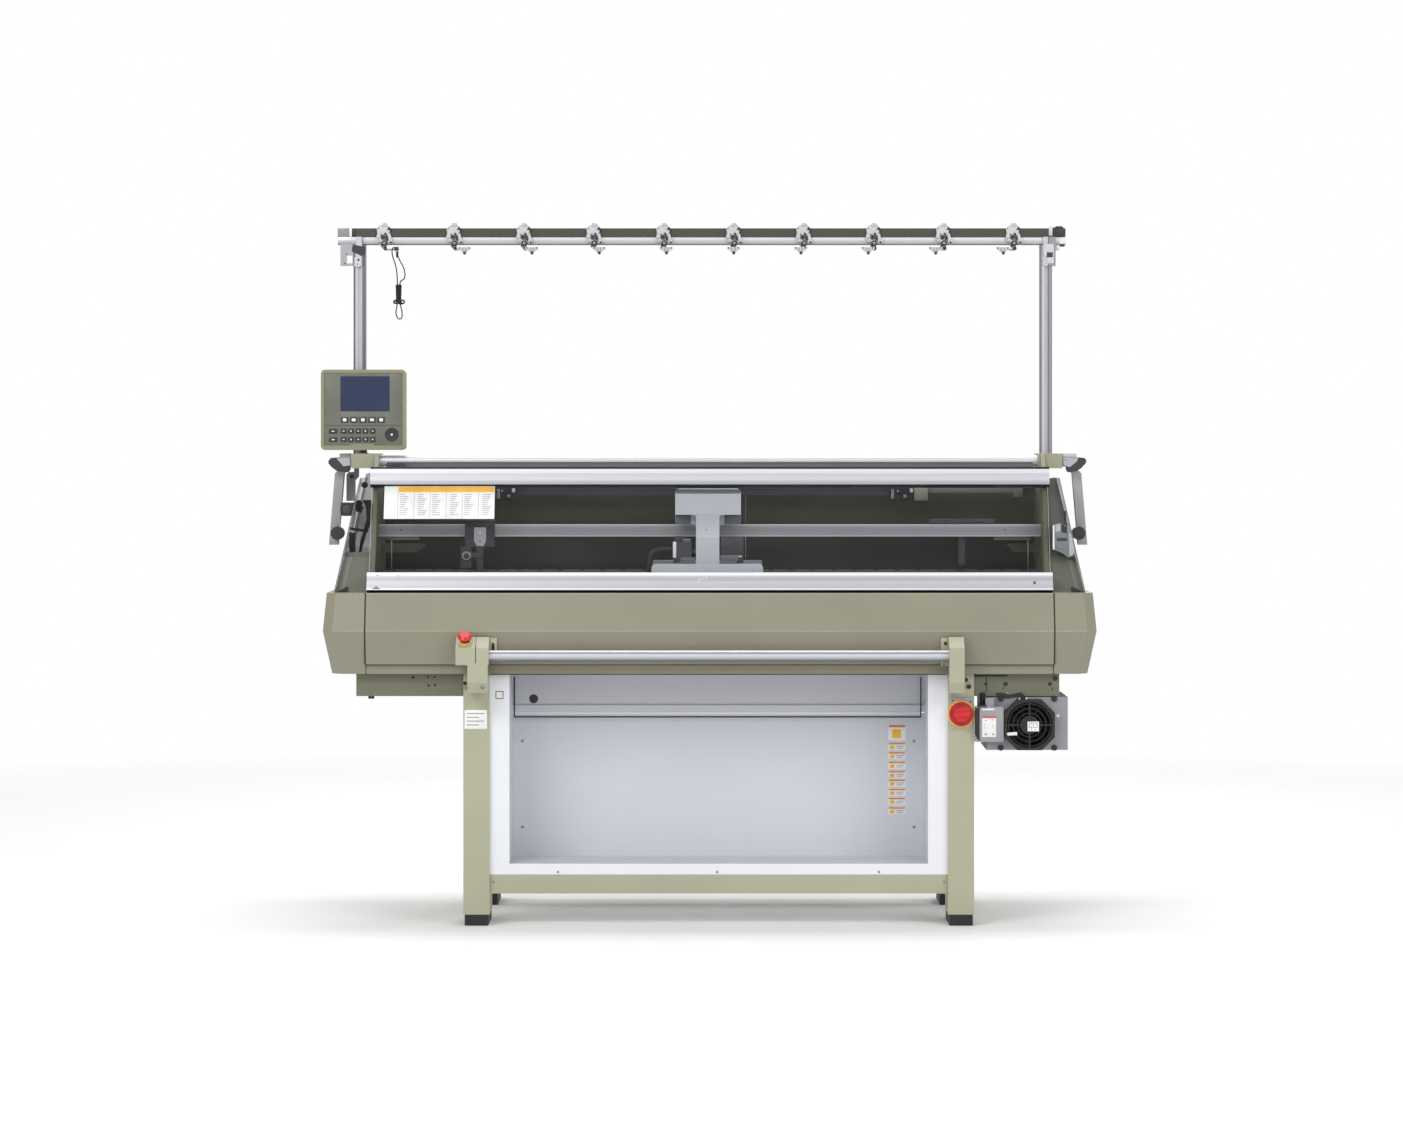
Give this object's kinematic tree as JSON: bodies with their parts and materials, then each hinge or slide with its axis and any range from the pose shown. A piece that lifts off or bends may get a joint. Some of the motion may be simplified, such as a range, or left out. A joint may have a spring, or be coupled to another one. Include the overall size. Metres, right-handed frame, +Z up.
{
  "type": "flat knitting machine",
  "caption": "Flat knitting machine on two leg frames with a lift-up window, travelling carriage, yarn tension beam, control panel and fabric bin.",
  "frame": {"origin": "on the floor, under the middle of the machine's overall box without its cord", "axes": "+X to the right of a person in front of the machine, +Y to its back, +Z up"},
  "size_m": [2.1891, 0.9106, 1.981],
  "materials": {
    "cover_paint": "satin",
    "frame_paint": "satin",
    "bin_paint": "satin",
    "interior_paint": "satin",
    "fan_paint": "satin",
    "casting_paint": "satin",
    "aluminium": "brushed",
    "steel": "ground",
    "dark_steel": "blackened",
    "black_plastic": "fine grain",
    "panel_plastic": "fine grain",
    "red_plastic": "smooth",
    "grey_plastic": "fine grain",
    "rubber": "matt",
    "clear_pane": "clear",
    "smoke_pane": "tinted",
    "screen_glass": "gloss",
    "cord": "braided"
  },
  "bodies": {
    "frame": {"left_leg_frame": "frame_paint", "right_leg_frame": "frame_paint", "feet": "rubber", "front_beam": "frame_paint", "rear_beam": "frame_paint", "bin_surround": "bin_paint", "bin_back_panel": "bin_paint", "bin_upper_panel": "bin_paint", "bed_frame": "interior_paint", "front_needle_bed": "steel", "rear_needle_bed": "steel", "front_cover": "cover_paint", "left_end_cover": "cover_paint", "right_end_cover": "cover_paint", "rear_cover": "cover_paint", "left_side_frame": "cover_paint", "right_side_frame": "cover_paint", "carriage_rails": "steel", "yarn_rail": "aluminium", "upper_rail": "dark_steel", "inner_back_panel": "interior_paint", "left_side_shield": "smoke_pane", "right_side_shield": "smoke_pane", "drive_belt": "rubber", "left_post": "aluminium", "right_post": "aluminium", "thread_tube": "aluminium", "top_channel": "interior_paint", "tension_units": "casting_paint", "left_bar_bracket": "frame_paint", "right_bar_bracket": "frame_paint", "fan_box": "fan_paint", "fan_guard": "black_plastic", "connector_box": "grey_plastic", "shield_knob": "black_plastic", "hanging_cord": "cord"},
    "window": {"window_pane": "clear_pane", "window_lower_rail": "aluminium", "window_upper_rail": "aluminium", "window_tube": "aluminium", "window_grips": "black_plastic", "window_arms": "casting_paint"},
    "carriage": {"carriage_bridge": "casting_paint", "front_cam_block": "casting_paint", "rear_cam_block": "casting_paint", "carriage_motor": "dark_steel", "carriage_cable": "black_plastic"},
    "left_carrier": {"left_yarn_carrier": "dark_steel"},
    "right_carrier": {"right_yarn_carrier": "dark_steel"},
    "drive_wheel": {"drive_pulley": "aluminium"},
    "idler_wheel": {"idler_pulley": "aluminium"},
    "takedown": {"takedown_roller": "steel"},
    "nip": {"nip_roller": "rubber"},
    "bar": {"start_bar": "aluminium"},
    "stop": {"estop_button": "red_plastic"},
    "main_switch": {"switch_knob": "red_plastic"},
    "yoke": {"panel_yoke": "black_plastic"},
    "panel": {"panel_housing": "panel_plastic", "panel_screen": "screen_glass"},
    "fan": {"fan_rotor": "black_plastic"}
  },
  "joints": [
    {"name": "window_lift", "type": "hinge", "parent": "frame", "child": "window", "pos_m": [0.013, -0.1, 1.3], "axis": [-1, 0, 0], "range_deg": [0, 48]},
    {"name": "carriage_slide", "type": "slide", "parent": "frame", "child": "carriage", "axis": [1, 0, 0], "range_m": [-0.7, 0.7]},
    {"name": "left_carrier_slide", "type": "slide", "parent": "frame", "child": "left_carrier", "axis": [1, 0, 0], "range_m": [-0.22, 1.5]},
    {"name": "right_carrier_slide", "type": "slide", "parent": "frame", "child": "right_carrier", "axis": [1, 0, 0], "range_m": [-1.5, 0.12]},
    {"name": "drive_pulley_spin", "type": "hinge", "parent": "frame", "child": "drive_wheel", "pos_m": [-0.887, 0.12, 0.9], "axis": [0, 1, 0], "continuous": true},
    {"name": "idler_pulley_spin", "type": "hinge", "parent": "frame", "child": "idler_wheel", "pos_m": [0.913, 0.12, 0.9], "axis": [0, 1, 0], "continuous": true},
    {"name": "takedown_spin", "type": "hinge", "parent": "frame", "child": "takedown", "pos_m": [0.013, -0.066, 0.82], "axis": [1, 0, 0], "continuous": true},
    {"name": "nip_spin", "type": "hinge", "parent": "frame", "child": "nip", "pos_m": [0.013, -0.111, 0.82], "axis": [1, 0, 0], "continuous": true},
    {"name": "start_bar_turn", "type": "hinge", "parent": "frame", "child": "bar", "pos_m": [0.0388, -0.415, 0.759], "axis": [1, 0, 0], "range_deg": [-20, 20], "stiffness_Nm_per_rad": 2},
    {"name": "stop_press", "type": "slide", "parent": "frame", "child": "stop", "axis": [0, 0.515, -0.8572], "range_m": [0, 0.005], "stiffness_N_per_m": 1500},
    {"name": "main_switch_turn", "type": "hinge", "parent": "frame", "child": "main_switch", "pos_m": [0.717, -0.36, 0.593], "axis": [0, 1, 0], "range_deg": [0, 90]},
    {"name": "panel_swivel", "type": "hinge", "parent": "frame", "child": "yoke", "pos_m": [-0.9745, -0.108, 1.325], "axis": [0, 0, 1], "range_deg": [-30, 40]},
    {"name": "panel_tilt", "type": "hinge", "parent": "yoke", "child": "panel", "pos_m": [-0.9745, -0.108, 1.346], "axis": [1, 0, 0], "range_deg": [-3, 12]},
    {"name": "fan_spin", "type": "hinge", "parent": "frame", "child": "fan", "pos_m": [0.9074, -0.345, 0.563], "axis": [0, 1, 0], "continuous": true}
  ],
  "couplings": [
    {"joint": "drive_pulley_spin", "follows": "carriage_slide", "rad_per_m": 37.665},
    {"joint": "idler_pulley_spin", "follows": "carriage_slide", "rad_per_m": 37.665},
    {"joint": "nip_spin", "follows": "takedown_spin", "ratio": -1.2}
  ]
}
